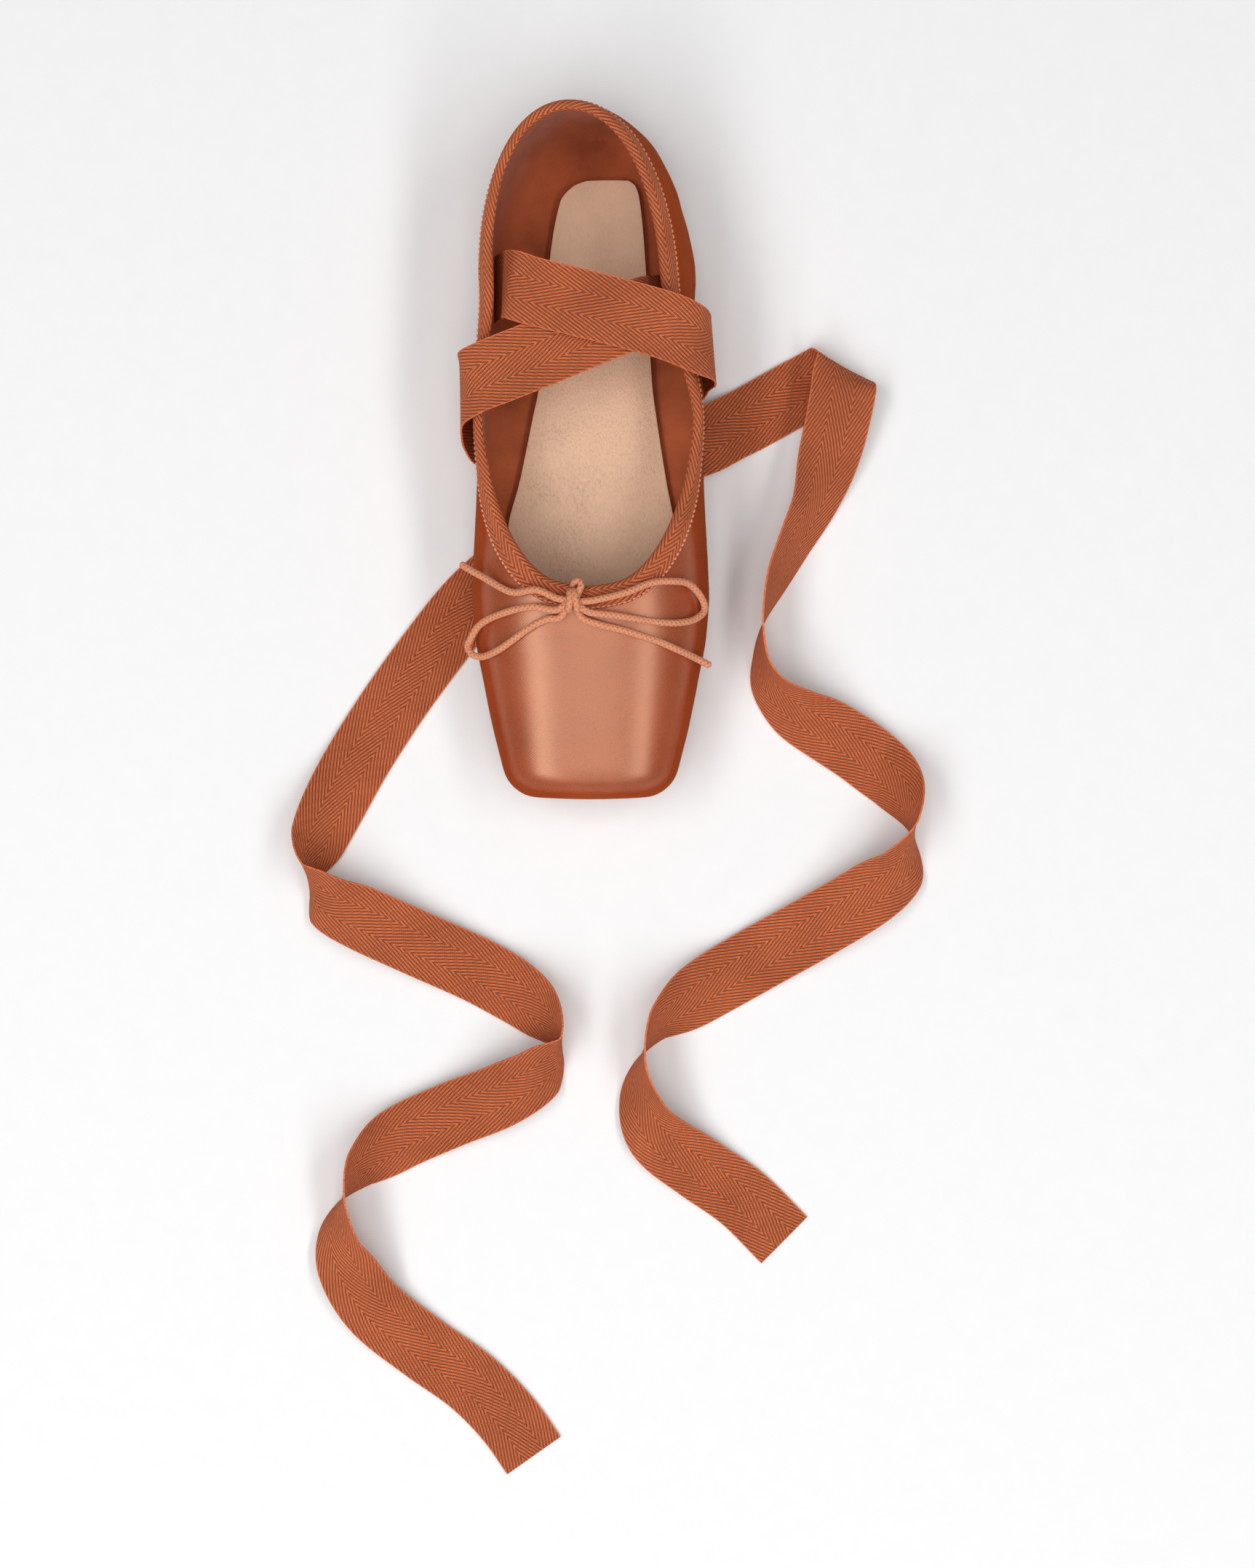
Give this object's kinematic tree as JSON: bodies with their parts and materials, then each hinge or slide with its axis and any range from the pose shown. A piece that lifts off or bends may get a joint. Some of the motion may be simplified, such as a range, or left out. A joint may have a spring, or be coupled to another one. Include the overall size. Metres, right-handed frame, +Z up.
{
  "type": "pointe shoe",
  "caption": "Satin pointe shoe with a blocked toe, bound topline, drawstring bow, leather sole and crossed twill ribbons trailing on the floor.",
  "frame": {"origin": "bottom centre of the shoe without its drawstring and ribbons, on the floor", "axes": "+Z up, heel toward +Y, toe toward -Y, +X to the right seen from above with the heel at the top"},
  "size_m": [0.2119, 0.4569, 0.0547],
  "materials": {
    "satin": "terracotta satin weave with a soft broad gloss",
    "sole_leather": "plain tan sole leather, lightly buffed",
    "insole_suede": "pale tan suede with a short nap",
    "binding_twill": "rust herringbone cotton tape, matt",
    "drawstring_cotton": "soft rust cotton cord, matt",
    "ribbon_twill": "rust herringbone ribbon, matt with a faint sheen"
  },
  "bodies": {
    "root": {"outsole": "sole_leather", "upper": "satin", "insole": "insole_suede", "binding": "binding_twill", "drawstring_knot": "drawstring_cotton", "drawstring_loop_left": "drawstring_cotton", "drawstring_loop_right": "drawstring_cotton", "drawstring_end_left": "drawstring_cotton", "drawstring_end_right": "drawstring_cotton", "ribbon_left": "ribbon_twill", "ribbon_right": "ribbon_twill"}
  },
  "joints": []
}
